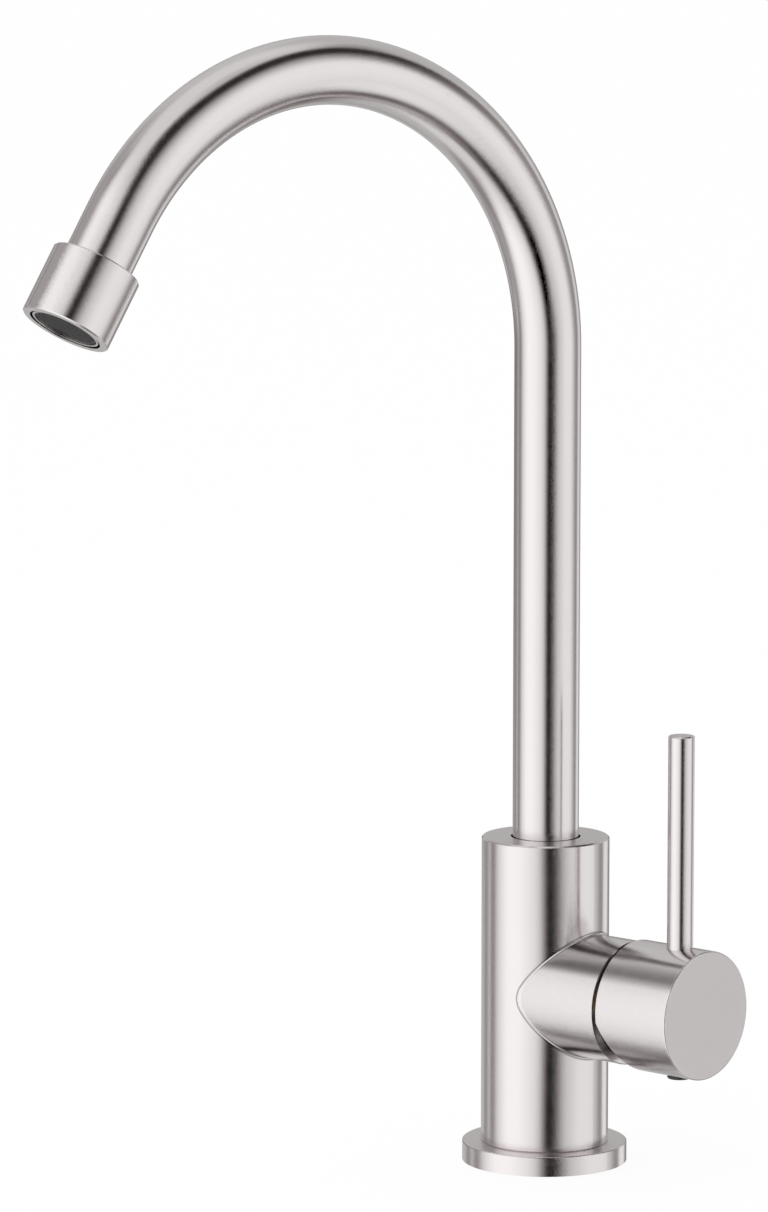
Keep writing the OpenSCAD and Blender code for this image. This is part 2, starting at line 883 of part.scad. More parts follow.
// Insert with its thread at the top and its free rim at the outlet
module aerator_shell() {
    color(steel)
        at_collar()
            rotate_extrude()
                polygon([[shell_bore_r, shell_z], [shell_r, shell_z],
                         [shell_r, shell_z + aerator_thread_h], [rim_r, shell_z + aerator_thread_h],
                         [rim_r, rim_z], [shell_bore_r, rim_z]]);
}

module jet_former() {
    color(white_plastic)
        at_collar()
            translate([0, 0, jet_z])
                difference() {
                    cylinder(r = shell_bore_r - seat_play, h = jet_h);
                    for (i = [0 : jet_slots - 1])
                        rotate([0, 0, i * 360 / jet_slots])
                            translate([jet_hub_r, -jet_slot_w / 2, -cut])
                                cube([shell_bore_r - jet_rim_w - jet_hub_r, jet_slot_w,
                                      jet_h + 2 * cut]);
                }
}

module aerator_screen() {
    color(dark_plastic)
        at_collar()
            translate([0, 0, screen_z])
                cylinder(r = shell_bore_r - seat_play, h = screen_t);
}

tap_body();
base_ring();
base_gasket();
spout_screw();
cartridge_base();
port_seals();
fixed_disc();
cartridge_housing();
cartridge_nut();
cartridge_rotor();
rotor_seal();
stem_pin();
cartridge_stem();
handle_knob();
lever_rod();
handle_screw();
index_plug();
disc_carrier();
moving_disc();
spout_tube();
spout_foot();
foot_seal_lower();
foot_seal_upper();
slip_ring_lower();
slip_ring_upper();
aerator_collar();
aerator_washer();
aerator_shell();
jet_former();
aerator_screen();
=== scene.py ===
# %% [markdown]
# # A kitchen tap in brushed steel
# The solids come from the CAD model as a fixed frame: every piece is already at its real size and
# place, in metres, with the deck at z = 0, the column on the Z axis and the knob towards +X.
# This script gives them their finishes, models the pieces that need more than a CAD mesh can
# carry, and sets up the camera and a small studio round the tap.

# %% Load the frame
import json
import math

import bpy
from mathutils import Matrix, Vector


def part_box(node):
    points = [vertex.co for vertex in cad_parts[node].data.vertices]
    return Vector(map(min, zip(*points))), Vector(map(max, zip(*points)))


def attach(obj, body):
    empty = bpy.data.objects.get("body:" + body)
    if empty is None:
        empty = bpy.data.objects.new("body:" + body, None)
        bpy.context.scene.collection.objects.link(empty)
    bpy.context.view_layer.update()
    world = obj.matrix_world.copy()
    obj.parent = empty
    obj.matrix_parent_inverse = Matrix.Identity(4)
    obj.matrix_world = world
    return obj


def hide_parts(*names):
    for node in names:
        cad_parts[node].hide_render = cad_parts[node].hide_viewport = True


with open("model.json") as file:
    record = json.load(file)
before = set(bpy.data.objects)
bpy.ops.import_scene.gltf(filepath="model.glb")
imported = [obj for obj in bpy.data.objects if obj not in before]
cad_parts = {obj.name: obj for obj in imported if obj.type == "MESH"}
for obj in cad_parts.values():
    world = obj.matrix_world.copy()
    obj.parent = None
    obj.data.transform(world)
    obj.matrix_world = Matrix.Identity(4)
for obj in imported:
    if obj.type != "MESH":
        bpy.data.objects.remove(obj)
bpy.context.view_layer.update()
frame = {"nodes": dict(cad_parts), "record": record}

# %% [markdown]
# ## The sizes that the finishes and the new pieces need
# They repeat the driving dimensions of the CAD model, in metres. A finish needs them too: the
# brushing on the column runs round the Z axis and the brushing on the boss round the X axis, so
# the material has to know where one ends and the other begins. `SKIN` is how near a point has to
# be to a face to count as lying on it, and `MERGE` how near two points are when they are one.

# %% Sizes
MM = 0.001
SKIN = 0.05 * MM
MERGE = 0.01 * MM

BODY_R = 21.25 * MM
BODY_TOP = 109.5 * MM
RING_H = 6.6 * MM
BOSS_Z = 58.2 * MM
BOSS_R = 20.5 * MM
BEAD_R = 0.6 * MM
KNOB_R = 21.25 * MM
KNOB_END = 69.2 * MM
LEVER_X = 58 * MM
LEVER_TOP = 149.45 * MM
TUBE_R = 11 * MM
TUBE_WALL = 1.5 * MM
BEND_R = 93 * MM
BEND_Z = 272.6 * MM
BEND_ANGLE = math.radians(148)
OUTLET_RUN = 16.4 * MM
COLLAR_H = 23 * MM
COLLAR_LAP = 8 * MM
SPOUT_AZIMUTH = math.radians(-99.8)

spout_way = Vector((math.cos(SPOUT_AZIMUTH), math.sin(SPOUT_AZIMUTH), 0))
outlet_way = math.sin(BEND_ANGLE) * spout_way + Vector((0, 0, math.cos(BEND_ANGLE)))
bend_end = (BEND_R - BEND_R * math.cos(BEND_ANGLE)) * spout_way
bend_end += Vector((0, 0, BEND_Z + BEND_R * math.sin(BEND_ANGLE)))
collar_top = bend_end + OUTLET_RUN * outlet_way
print("the collar starts at", tuple(round(v, 4) for v in collar_top))

# %% [markdown]
# ## A small language for materials
# Shader maths is easier to read as an expression than as a chain of nodes. One class wraps an
# output of a node and overloads the operators, and one method makes any other node from its type,
# its settings and its inputs.

# %% Shader maths
class Value:
    """An output of a node. Each operator adds the Math node that it stands for."""

    def __init__(self, sheet, socket):
        self.sheet = sheet
        self.socket = socket

    def maths(self, operation, a, b=None):
        return self.sheet.node("ShaderNodeMath", {"operation": operation}, {0: a, 1: b})

    def __add__(self, other):
        return self.maths("ADD", self, other)

    def __radd__(self, other):
        return self.maths("ADD", other, self)

    def __sub__(self, other):
        return self.maths("SUBTRACT", self, other)

    def __rsub__(self, other):
        return self.maths("SUBTRACT", other, self)

    def __mul__(self, other):
        return self.maths("MULTIPLY", self, other)

    def __rmul__(self, other):
        return self.maths("MULTIPLY", other, self)

    def __truediv__(self, other):
        return self.maths("DIVIDE", self, other)

    def __pow__(self, other):
        return self.maths("POWER", self, other)

    def __abs__(self):
        return self.maths("ABSOLUTE", self)

    def __gt__(self, other):
        return self.maths("GREATER_THAN", self, other)

    def __lt__(self, other):
        return self.maths("LESS_THAN", self, other)


class Finish:
    """A material with its Principled shader, and the one method that makes all its other nodes."""

    def __init__(self, name, **numbers):
        self.data = bpy.data.materials.new(name)
        self.data.use_nodes = True
        self.tree = self.data.node_tree
        self.shader = self.tree.nodes["Principled BSDF"]
        for socket, number in numbers.items():
            self.shader.inputs[socket.title()].default_value = number

    def fill(self, socket, value):
        if isinstance(value, Value):
            self.tree.links.new(value.socket, socket)
        elif value is not None:
            socket.default_value = value

    def node(self, kind, settings=None, inputs=None, output=0):
        made = self.tree.nodes.new(kind)
        for name, setting in (settings or {}).items():
            setattr(made, name, setting)
        for name, value in (inputs or {}).items():
            self.fill(made.inputs[name], value)
        return Value(self, made.outputs[output])

    def shade(self, socket, value):
        self.fill(self.shader.inputs[socket], value)

    def surface(self, value):
        """Puts another shader than the Principled one on the material's surface."""
        self.fill(self.tree.nodes["Material Output"].inputs["Surface"], value)


print("shader maths is ready")

# %% [markdown]
# ## Helpers that the finishes share
# `place` reads Object coordinates, which are the same as the frame's metres because every object
# sits at the origin. `noise`, `blend` and `tint` are the three things that nearly every finish
# below is mixed from: a random pattern, a number that follows a mask, and a colour that does.

# %% Pattern helpers
def split(finish, point):
    """The three parts of a point."""
    return [finish.node("ShaderNodeSeparateXYZ", inputs={0: point}, output=i) for i in range(3)]


def place(finish):
    """Object coordinates, and their three parts."""
    point = finish.node("ShaderNodeTexCoord", output="Object")
    return point, split(finish, point)


def vector(finish, x, y, z):
    return finish.node("ShaderNodeCombineXYZ", inputs={0: x, 1: y, 2: z})


def noise(finish, point, scale, detail=2.0, roughness=0.5):
    return finish.node("ShaderNodeTexNoise", {"noise_dimensions": "3D"},
                       {"Vector": point, "Scale": scale, "Detail": detail, "Roughness": roughness})


def blend(finish, mask, a, b):
    """Number a where the mask is 0 and number b where it is 1."""
    return finish.node("ShaderNodeMix", {"data_type": "FLOAT"}, {0: mask, 2: a, 3: b})


def tint(finish, mask, a, b):
    """Colour a where the mask is 0 and colour b where it is 1."""
    colours = {0: mask, 6: (*a, 1), 7: (*b, 1)}
    return finish.node("ShaderNodeMix", {"data_type": "RGBA"}, colours, output=2)


def length(finish, x, y):
    return finish.node("ShaderNodeMath", {"operation": "SQRT"}, {0: x * x + y * y})


def ramp(value, start, end):
    """0 before start and 1 after end, with a soft way between."""
    limits = {"Value": value, "From Min": start, "From Max": end, "To Min": 0.0, "To Max": 1.0}
    return value.sheet.node("ShaderNodeMapRange", {"interpolation_type": "SMOOTHSTEP"}, limits)


def bank(value, start, full, ebb, end):
    """Rises from start to full and falls again from ebb to end."""
    return ramp(value, start, full) * (1 - ramp(value, ebb, end))


def shift(finish, direction, other, amount):
    """A direction with another one added in the given amount, brought back to length 1."""
    added = finish.node("ShaderNodeVectorMath", {"operation": "SCALE"}, {0: other, "Scale": amount})
    total = finish.node("ShaderNodeVectorMath", {"operation": "ADD"}, {0: direction, 1: added})
    return finish.node("ShaderNodeVectorMath", {"operation": "NORMALIZE"}, {0: total})


def dress(piece, finish):
    piece.data.materials.clear()
    piece.data.materials.append(finish.data)


print("pattern helpers are ready")

# %% [markdown]
# ## Brushed steel
# The metal is a warm nickel-coloured steel. Its sheen is made of three layers: the base colour
# with a faint cloudiness, a roughness that changes slowly in long bands where the belt pressed
# more or less, and fine scratches. The scratches run round each turned piece, so they tilt the
# surface only along its axis. That is what smears reflections along a column and keeps them sharp
# across it, the look of brushed metal in the photo. A bump node would do this too, but its slope
# depends on how large a pixel is, and here the tilt has to be the same from near and far. So the
# normal is leaned by hand: the scratches' noise decides how far, and `way` in which direction.
# `along` is the coordinate that changes fast, in metres, and `lie` the point that changes slowly.
# `dark` is the share of the colour that is taken away for painted shade in a crease or for a streak of
# painted reflection.

# %% Brushed steel
STEEL = (0.791, 0.752, 0.752)
STEEL_DEEP = (0.756, 0.717, 0.717)
WALL_ROUGH = 0.14
FLAT_ROUGH = 0.30
MATT_ROUGH = 0.42


def streaked(finish, along, lie, slow, fast, detail, roughness):
    """Noise that changes slowly with the point and fast along one coordinate."""
    lx, ly, lz = split(finish, lie)
    stretched = vector(finish, lx * slow + along * fast, ly * slow, lz * slow)
    return noise(finish, stretched, 1.0, detail, roughness)


def brush(finish, along, way, lie, rough=WALL_ROUGH, lean=0.50, dark=0.0):
    """Adds the scratches, the bands and the colour of brushed steel to a finish."""
    fine = streaked(finish, along, lie, slow=26, fast=1300, detail=3.0, roughness=0.65)
    hair = streaked(finish, along, lie, slow=4000, fast=20000, detail=1.0, roughness=0.5)
    band = streaked(finish, along, lie, slow=9, fast=300, detail=2.0, roughness=0.5)
    cloud = noise(finish, lie, 45.0, 3.0, 0.55)
    colour = tint(finish, cloud * 0.6 + band * 0.4, STEEL_DEEP, STEEL)
    # Painted shade and painted reflection: `dark` takes colour away where a finish asks for it.
    left_over = 1 - fine * 0.01 - dark
    finish.shade("Base Color", finish.node("ShaderNodeVectorMath", {"operation": "SCALE"},
                                           {0: colour, "Scale": left_over}))
    finish.shade("Roughness", band * 0.10 + (rough - 0.05) + fine * 0.03)
    settings = {"vector_type": "VECTOR", "convert_from": "OBJECT", "convert_to": "WORLD"}
    turned = finish.node("ShaderNodeVectorTransform", settings, {0: way})
    plain = finish.node("ShaderNodeNewGeometry", output="Normal")
    finish.shade("Normal", shift(finish, plain, turned, (fine - 0.5) * 0.012 + (hair - 0.5) * lean))


def steel(name):
    return Finish(name, metallic=1.0)


print("brushed steel is ready")

# %% [markdown]
# ## The column and the boss
# One casting with two turned shapes, so its finish is in three parts. Outside the column's radius
# the point is on the boss, where the brushing runs round the X axis. On the flat top the belt ran
# in circles, so there the fast coordinate is the distance from the axis. Painted shade darkens a
# thin crease beside the boss on the column's wall: its distance from the line that the polished
# bead touches is measured square to that line. Two soft streaks of painted reflection, one above
# and one below, darken the colour along the boss and go on over the knob.

# %% Finish of the body
def painted_reflection_streaks(z, radius, above, above_depth, below, below_depth):
    """Streaks of painted reflection, darker along a lying cylinder. Their heights are shares of its radius.
    """
    lift = (z - BOSS_Z) * (1 / radius)
    return bank(lift, *above) * above_depth + bank(lift, *below) * below_depth


body_steel = steel("body_steel")
point, (x, y, z) = place(body_steel)
reach = length(body_steel, x, y)
on_boss = reach > BODY_R + SKIN
on_top = z > BODY_TOP - SKIN
upright = blend(body_steel, on_top, z, reach)
on_wall = (1 - on_boss) * (1 - on_top)
way = vector(body_steel, on_boss + on_top * x / reach, on_top * y / reach, on_wall)

from_boss = length(body_steel, y * ((BODY_R + BEAD_R) / BODY_R), z - BOSS_Z)
slope = length(body_steel, x * y * (1 / BODY_R), z - BOSS_Z)
from_bead = (from_boss - BOSS_R - BEAD_R) * from_boss / slope
# Painted shade: the column's colour darkens in a thin crease beside the bead.
painted_crease_shade = bank(from_bead, -0.3 * MM, 0.0, 0.3 * MM, 0.7 * MM) * (1 - on_boss) * (x > 0) * 0.5
# Painted reflection: two darker streaks along the boss, above and below its axis.
reflection_streaks = painted_reflection_streaks(z, BOSS_R, (0.48, 0.60, 0.68, 0.90), 0.54, (-0.82, -0.74, -0.56, -0.44), 0.48)

rough = blend(body_steel, on_top, WALL_ROUGH, FLAT_ROUGH)
along = blend(body_steel, on_boss, upright, x)
brush(body_steel, along, way, point, rough=rough, dark=painted_crease_shade + reflection_streaks * on_boss)
dress(frame["nodes"]["tap_body"], body_steel)
print("body finish:", len(body_steel.tree.nodes), "nodes")

# %% [markdown]
# ## The base ring
# The same metal, turned: circles on its top and lines round its rim.

# %% Finish of the ring
ring_steel = steel("ring_steel")
point, (x, y, z) = place(ring_steel)
reach = length(ring_steel, x, y)
on_top = z > RING_H - SKIN
way = vector(ring_steel, on_top * x / reach, on_top * y / reach, 1 - on_top)
rough = blend(ring_steel, on_top, WALL_ROUGH, FLAT_ROUGH)
brush(ring_steel, blend(ring_steel, on_top, z, reach), way, point, rough=rough)
dress(frame["nodes"]["base_ring"], ring_steel)
print("ring finish:", len(ring_steel.tree.nodes), "nodes")

# %% [markdown]
# ## The knob and the lever
# The knob's wall is brushed round its axis. Its flat end is finer and duller: in the photo it is
# an even, matt disc, so it gets shallow circles and more roughness. The lever is a thin rod that
# was brushed while it turned.

# %% Finish of the handle
knob_steel = steel("knob_steel")
point, (x, y, z) = place(knob_steel)
on_end = x > KNOB_END - SKIN
from_axis = length(knob_steel, y, z - BOSS_Z)
way = vector(knob_steel, 1 - on_end, on_end * y / from_axis, on_end * (z - BOSS_Z) / from_axis)
rough = blend(knob_steel, on_end, WALL_ROUGH, MATT_ROUGH)
# Painted reflection: the boss's darker streaks go on over the knob's wall.
reflection_streaks = painted_reflection_streaks(z, KNOB_R, (0.46, 0.58, 0.70, 0.84), 0.36, (-0.80, -0.72, -0.56, -0.46), 0.28)
dark = on_end * 0.03 + reflection_streaks * (1 - on_end)
brush(knob_steel, blend(knob_steel, on_end, x, from_axis), way, point, rough=rough, dark=dark)
dress(frame["nodes"]["handle_knob"], knob_steel)

lever_steel = steel("lever_steel")
point, (x, y, z) = place(lever_steel)
on_end = z > LEVER_TOP - SKIN
from_axis = length(lever_steel, x - LEVER_X, y)
way = vector(lever_steel, on_end * (x - LEVER_X) / from_axis, on_end * y / from_axis, 1 - on_end)
rough = blend(lever_steel, on_end, WALL_ROUGH, FLAT_ROUGH)
brush(lever_steel, blend(lever_steel, on_end, z, from_axis), way, point, rough=rough)
dress(frame["nodes"]["lever_rod"], lever_steel)
print("handle finishes:", len(knob_steel.tree.nodes), "and", len(lever_steel.tree.nodes), "nodes")

# %% [markdown]
# ## Short names for modelling steps
# Five small functions take up what the modelled pieces below repeat: going back to object mode,
# entering edit mode with everything selected, clearing the selection, fixing an object's place in
# its points, and adding a modifier that is applied at once.

# %% Modelling helpers
def object_mode():
    bpy.ops.object.mode_set(mode="OBJECT")


def edit_all():
    bpy.ops.object.mode_set(mode="EDIT")
    bpy.ops.mesh.select_all(action="SELECT")


def deselect():
    if bpy.context.object and bpy.context.object.mode != "OBJECT":
        object_mode()
    bpy.ops.object.select_all(action="DESELECT")


def settle():
    """Moves the active object's place into its points, so that its origin is the frame's."""
    bpy.ops.object.transform_apply(location=True, rotation=True, scale=True)


def modify(piece, kind, **settings):
    modifier = piece.modifiers.new("step", kind)
    for name, setting in settings.items():
        setattr(modifier, name, setting)
    bpy.ops.object.modifier_apply(modifier="step")


print("modelling helpers are ready")

# %% [markdown]
# ## The spout's tube
# The tube is bent, so no coordinate of the frame follows it. It is modelled anew: a circle of
# points is extruded up the riser, spun round the bend and extruded again into the collar, and
# Solidify gives it its wall. A curve with a bevel would be quicker, but the spin keeps the rings
# square to the tube and their number in hand.

# %% Model the tube
POINTS_ROUND = 96
RISER_STEPS = 10
BEND_STEPS = 74

tube_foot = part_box("spout_tube")[0].z
bend_centre = BEND_R * spout_way + Vector((0, 0, BEND_Z))
across = spout_way.cross(Vector((0, 0, 1)))

deselect()
bpy.ops.mesh.primitive_circle_add(vertices=POINTS_ROUND, radius=TUBE_R, location=(0, 0, tube_foot))
tube = bpy.context.object
tube.name = "brushed_tube"
settle()
edit_all()
for step in range(RISER_STEPS):
    bpy.ops.mesh.extrude_region_move(
        TRANSFORM_OT_translate={"value": (0, 0, (BEND_Z - tube_foot) / RISER_STEPS)})
bpy.ops.mesh.spin(steps=BEND_STEPS, angle=BEND_ANGLE, center=bend_centre, axis=across)
bpy.ops.mesh.extrude_region_move(
    TRANSFORM_OT_translate={"value": (OUTLET_RUN + COLLAR_LAP) * outlet_way})
object_mode()
print("tube:", len(tube.data.vertices), "points, top at", round(max(v.co.z for v in tube.data.vertices), 4))

# %% [markdown]
# ## Give the tube its wall and remember the straight tube
# Spin leaves double points where it starts, so they are merged and the normals are turned outwards
# before the wall is added. Then every point stores where it would lie if the tube were pulled
# straight: its place in the cross-section, and how far along the tube it is. The brushing reads
# that stored place, so the scratches stay square to the tube all round the bend.

# %% Wall and straightened place
edit_all()
bpy.ops.mesh.remove_doubles(threshold=MERGE)
bpy.ops.mesh.normals_make_consistent(inside=False)
object_mode()
modify(tube, "SOLIDIFY", thickness=TUBE_WALL, offset=-1, use_even_offset=True)
bpy.ops.object.shade_smooth_by_angle(angle=math.radians(40))


def straighten(point):
    """Place in the straight tube, and the direction in which the bent tube runs there."""
    arm = point - bend_centre
    angle = math.atan2(arm.z, -arm.dot(spout_way))
    sideways = point.dot(across)
    if angle < 0:
        return (point.dot(spout_way), sideways, point.z), Vector((0, 0, 1))
    if angle < BEND_ANGLE + 0.001:
        out = arm - across * arm.dot(across)
        place_there = (BEND_R - out.length, sideways, BEND_Z + BEND_R * angle)
        return place_there, math.sin(angle) * spout_way + Vector((0, 0, math.cos(angle)))
    run = (point - bend_end).dot(outlet_way)
    inward = (point - bend_end).dot(across.cross(outlet_way))
    return (inward, sideways, BEND_Z + BEND_R * BEND_ANGLE + run), outlet_way


straight = tube.data.attributes.new("straight", "FLOAT_VECTOR", "POINT")
tube_way = tube.data.attributes.new("tube_way", "FLOAT_VECTOR", "POINT")
for vertex in tube.data.vertices:
    straight.data[vertex.index].vector, tube_way.data[vertex.index].vector = straighten(vertex.co)
along_all = [item.vector.z for item in straight.data]
print("the straight tube runs from", round(min(along_all), 4), "to", round(max(along_all), 4))

# %% [markdown]
# ## The tube's finish
# The same brushing as on the column, read from the stored place.

# %% Finish of the tube
tube_steel = steel("tube_steel")
lie = tube_steel.node("ShaderNodeAttribute", {"attribute_name": "straight"}, output="Vector")
way = tube_steel.node("ShaderNodeAttribute", {"attribute_name": "tube_way"}, output="Vector")
brush(tube_steel, split(tube_steel, lie)[2], way, lie)
dress(tube, tube_steel)
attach(tube, "spout")
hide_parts("spout_tube")
print("tube finish:", len(tube_steel.tree.nodes), "nodes")

# %% [markdown]
# ## The collar at the outlet
# A turned sleeve round the tube's end. Its axis leans, so the finish first turns the point into
# the collar's own axes with a Mapping node: from there, z runs along the sleeve and the distance
# from its axis tells the wall from the two flat ends.

# %% Finish of the collar
collar_turn = outlet_way.to_track_quat("Z", "Y").to_matrix()
collar_frame = Matrix.Translation(collar_top) @ collar_turn.to_4x4()


def collar_place(finish):
    """The point in the collar's own axes, and its three parts."""
    back = collar_frame.inverted()
    point = finish.node("ShaderNodeTexCoord", output="Object")
    turned = finish.node("ShaderNodeMapping", inputs={
        "Vector": point, "Location": back.to_translation(), "Rotation": back.to_euler("XYZ")})
    return turned, split(finish, turned)


collar_steel = steel("collar_steel")
point, (x, y, z) = collar_place(collar_steel)
reach = length(collar_steel, x, y)
on_end = (z < SKIN) + (z > COLLAR_H - SKIN)
brush(collar_steel, blend(collar_steel, on_end, z, reach), tuple(outlet_way), point)
dress(frame["nodes"]["aerator_collar"], collar_steel)
print("collar finish:", len(collar_steel.tree.nodes), "nodes")

# %% [markdown]
# ## The finishes of the small and hidden parts
# Each of them is a real material too: turned brass, steel screws, black rubber, the plastics of
# the cartridge and the white ceramic of its discs. They all follow one recipe, a colour with
# specks or clouds, a roughness that varies with them and a little bump, with other numbers. The
# ring nut's brass is darkened nearly to black as painted shade, so the gap behind the knob reads dark.

# %% Small and hidden parts
def moulded(name, light, dark, rough, scale, height, metallic=0.0):
    """A speckled finish between two colours. The specks' scale is per metre, their height in metres."""
    finish = Finish(name, metallic=metallic)
    point, _ = place(finish)
    grain = noise(finish, point, scale, 3.0, 0.6)
    finish.shade("Base Color", tint(finish, grain, dark, light))
    finish.shade("Roughness", grain * 0.16 + (rough - 0.08))
    finish.shade("Normal", finish.node("ShaderNodeBump", inputs={
        "Strength": 1.0, "Distance": height, "Height": grain}))
    return finish


bare_brass = moulded("bare_brass", (0.80, 0.60, 0.30), (0.66, 0.47, 0.21), 0.30, 900.0, 0.000008, 1.0)
screw_steel = moulded("screw_steel", (0.62, 0.61, 0.60), (0.48, 0.47, 0.46), 0.35, 900.0, 0.000008, 1.0)
aerator_steel = moulded("aerator_steel", (0.74, 0.72, 0.71), (0.66, 0.64, 0.63), 0.22, 500.0, 0.000004, 1.0)
seal_rubber = moulded("seal_rubber", (0.030, 0.030, 0.032), (0.012, 0.012, 0.013), 0.62, 700.0, 0.00001)
cartridge_plastic = moulded("cartridge_plastic", (0.78, 0.77, 0.74), (0.68, 0.67, 0.64), 0.42, 350.0,
                            0.000008)
driver_plastic = moulded("driver_plastic", (0.10, 0.16, 0.34), (0.07, 0.12, 0.27), 0.40, 350.0, 0.000008)
# Painted shade: a brass darkened nearly to black, for the ring nut in the gap behind the knob.
painted_shade_brass = moulded("painted_shade_brass", (0.075, 0.060, 0.042), (0.040, 0.032, 0.024), 0.50, 900.0, 0.000008, 1.0)
disc_ceramic = moulded("disc_ceramic", (0.90, 0.89, 0.86), (0.84, 0.83, 0.80), 0.14, 500.0, 0.000001)
dark_plastic = moulded("dark_plastic", (0.037, 0.032, 0.034), (0.024, 0.021, 0.022), 0.40, 600.0, 0.000006)

small_finish = {"aerator_steel": aerator_steel, "screw_steel": screw_steel, "bare_brass": bare_brass,
                "seal_rubber": seal_rubber, "cartridge_plastic": cartridge_plastic,
                "driver_plastic": driver_plastic, "ceramic": disc_ceramic, "dark_plastic": dark_plastic}
small_parts = [row for row in frame["record"]["subparts"] if row["material_slot"] in small_finish]
for row in small_parts:
    dress(frame["nodes"][row["node"]], small_finish[row["material_slot"]])
# The ring nut wears the brass darkened as painted shade.
dress(frame["nodes"]["cartridge_nut"], painted_shade_brass)
print("dressed", len(small_parts), "small and hidden parts")

# %% [markdown]
# ## The screen in the outlet
# The CAD model has a plain disc here. The real one is a plate of fine cells that straightens the
# water. One hexagonal ring is a circle of six points with its middle taken out. Three Array
# modifiers lay it out as a honeycomb: the first adds the cell between two rows, the others repeat
# the pair across and upwards. A bump would be lighter, but it can't be looked through and has no
# depth from below.

# %% Model the honeycomb
CELL = 0.74 * MM
CELL_WALL = 0.22 * MM
CELLS_ACROSS = 29
CELL_PAIRS = 16
PAIR_STEP = CELL * math.sqrt(3)
SCREEN_R = 10.44 * MM
SCREEN_NEAR = 21.4 * MM
SCREEN_T = 0.8 * MM
SCREEN_INSET = 0.1 * MM
RIM = 0.9 * MM
RIM_EDGE = 0.12 * MM

deselect()
corner = (-CELLS_ACROSS / 2 * CELL, -(CELL_PAIRS - 1) / 2 * PAIR_STEP, 0)
bpy.ops.mesh.primitive_circle_add(vertices=6, radius=CELL / math.sqrt(3), fill_type="NGON", location=corner)
screen = bpy.context.object
settle()
edit_all()
bpy.ops.mesh.inset(thickness=CELL_WALL / 2, depth=0)
bpy.ops.mesh.delete(type="FACE")
object_mode()
copies = ((2, (CELL / 2, PAIR_STEP / 2, 0)), (CELLS_ACROSS, (CELL, 0, 0)), (CELL_PAIRS, (0, PAIR_STEP, 0)))
for count, step in copies:
    modify(screen, "ARRAY", count=count, use_relative_offset=False, use_constant_offset=True,
           constant_offset_displace=step)
print("honeycomb before the cut:", len(screen.data.polygons), "faces")

# %% [markdown]
# ## Cut the honeycomb to a disc
# Neighbouring cells share their edges, so their points are merged first. Faces whose middle lies
# under the rim or beyond it are deleted, and Solidify makes a plate of the rest. The plate is a
# little thinner than the rim on both sides, as a moulded screen is.

# %% Cut it to a disc and give it depth
edit_all()
bpy.ops.mesh.remove_doubles(threshold=MERGE)
bpy.ops.mesh.select_all(action="DESELECT")
object_mode()
for face in screen.data.polygons:
    face.select = face.center.length > SCREEN_R - RIM / 2
bpy.ops.object.mode_set(mode="EDIT")
bpy.ops.mesh.delete(type="FACE")
object_mode()
modify(screen, "SOLIDIFY", thickness=SCREEN_T - 2 * SCREEN_INSET, offset=-1)
for vertex in screen.data.vertices:
    vertex.co.z += SCREEN_NEAR + SCREEN_T - SCREEN_INSET
print("honeycomb:", len(screen.data.polygons), "faces")

# %% [markdown]
# ## The screen's rim
# A flat ring hides the cut cells and seats the screen in the aerator. It is a disc with its middle
# taken out, given depth and a small bevel. It is joined with the honeycomb, and both are turned
# from the collar's own axes into their place in the outlet.

# %% Close its edge with a rim
deselect()
bpy.ops.mesh.primitive_circle_add(vertices=POINTS_ROUND, radius=SCREEN_R, fill_type="NGON",
                                  location=(0, 0, SCREEN_NEAR + SCREEN_T))
rim = bpy.context.object
settle()
edit_all()
bpy.ops.mesh.inset(thickness=RIM, depth=0)
bpy.ops.mesh.delete(type="FACE")
object_mode()
modify(rim, "SOLIDIFY", thickness=SCREEN_T, offset=-1)
modify(rim, "BEVEL", width=RIM_EDGE, segments=2)
deselect()
rim.select_set(True)
screen.select_set(True)
bpy.context.view_layer.objects.active = screen
bpy.ops.object.join()
screen.name = "outlet_screen"
screen.data.transform(collar_frame)
bpy.ops.object.shade_smooth_by_angle(angle=math.radians(30))
dress(screen, dark_plastic)
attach(screen, "spout")
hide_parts("aerator_screen")
print("outlet screen:", len(screen.data.polygons), "faces")

# %% [markdown]
# ## The line where the boss meets the column
# On the real casting the inner corner is polished to a thin concave bead, which catches the light
# as a fine bright line. A ball rolled along the corner touches both cylinders, so its centre
# follows where the two walls, each moved out by the ball's radius, would meet. A grid is bent round
# that path: seven rows lie on the ball between its two points of touch and two are sunk in the metal.

# %% Model the bead
BEAD_ROWS = 9
BEAD_STEPS = 180
BEAD_SUNK = 1.15
BEAD_SWELL = 1.02


def bead_point(turn, row):
    """A point of the bead, from its turn about the boss's axis and its row across the bead."""
    y = (BOSS_R + BEAD_R) * math.sin(turn)
    z = (BOSS_R + BEAD_R) * math.cos(turn)
    x = math.sqrt((BODY_R + BEAD_R) ** 2 - y * y)
    middle = Vector((x, y, BOSS_Z + z))
    to_column = -Vector((x, y, 0)).normalized()
    to_boss = -Vector((0, y, z)).normalized()
    if row in (0, BEAD_ROWS - 1):
        return middle + (to_column + to_boss) * BEAD_R * BEAD_SUNK
    share = (row - 1) / (BEAD_ROWS - 3)
    return middle + BEAD_R * BEAD_SWELL * to_column.slerp(to_boss, share)


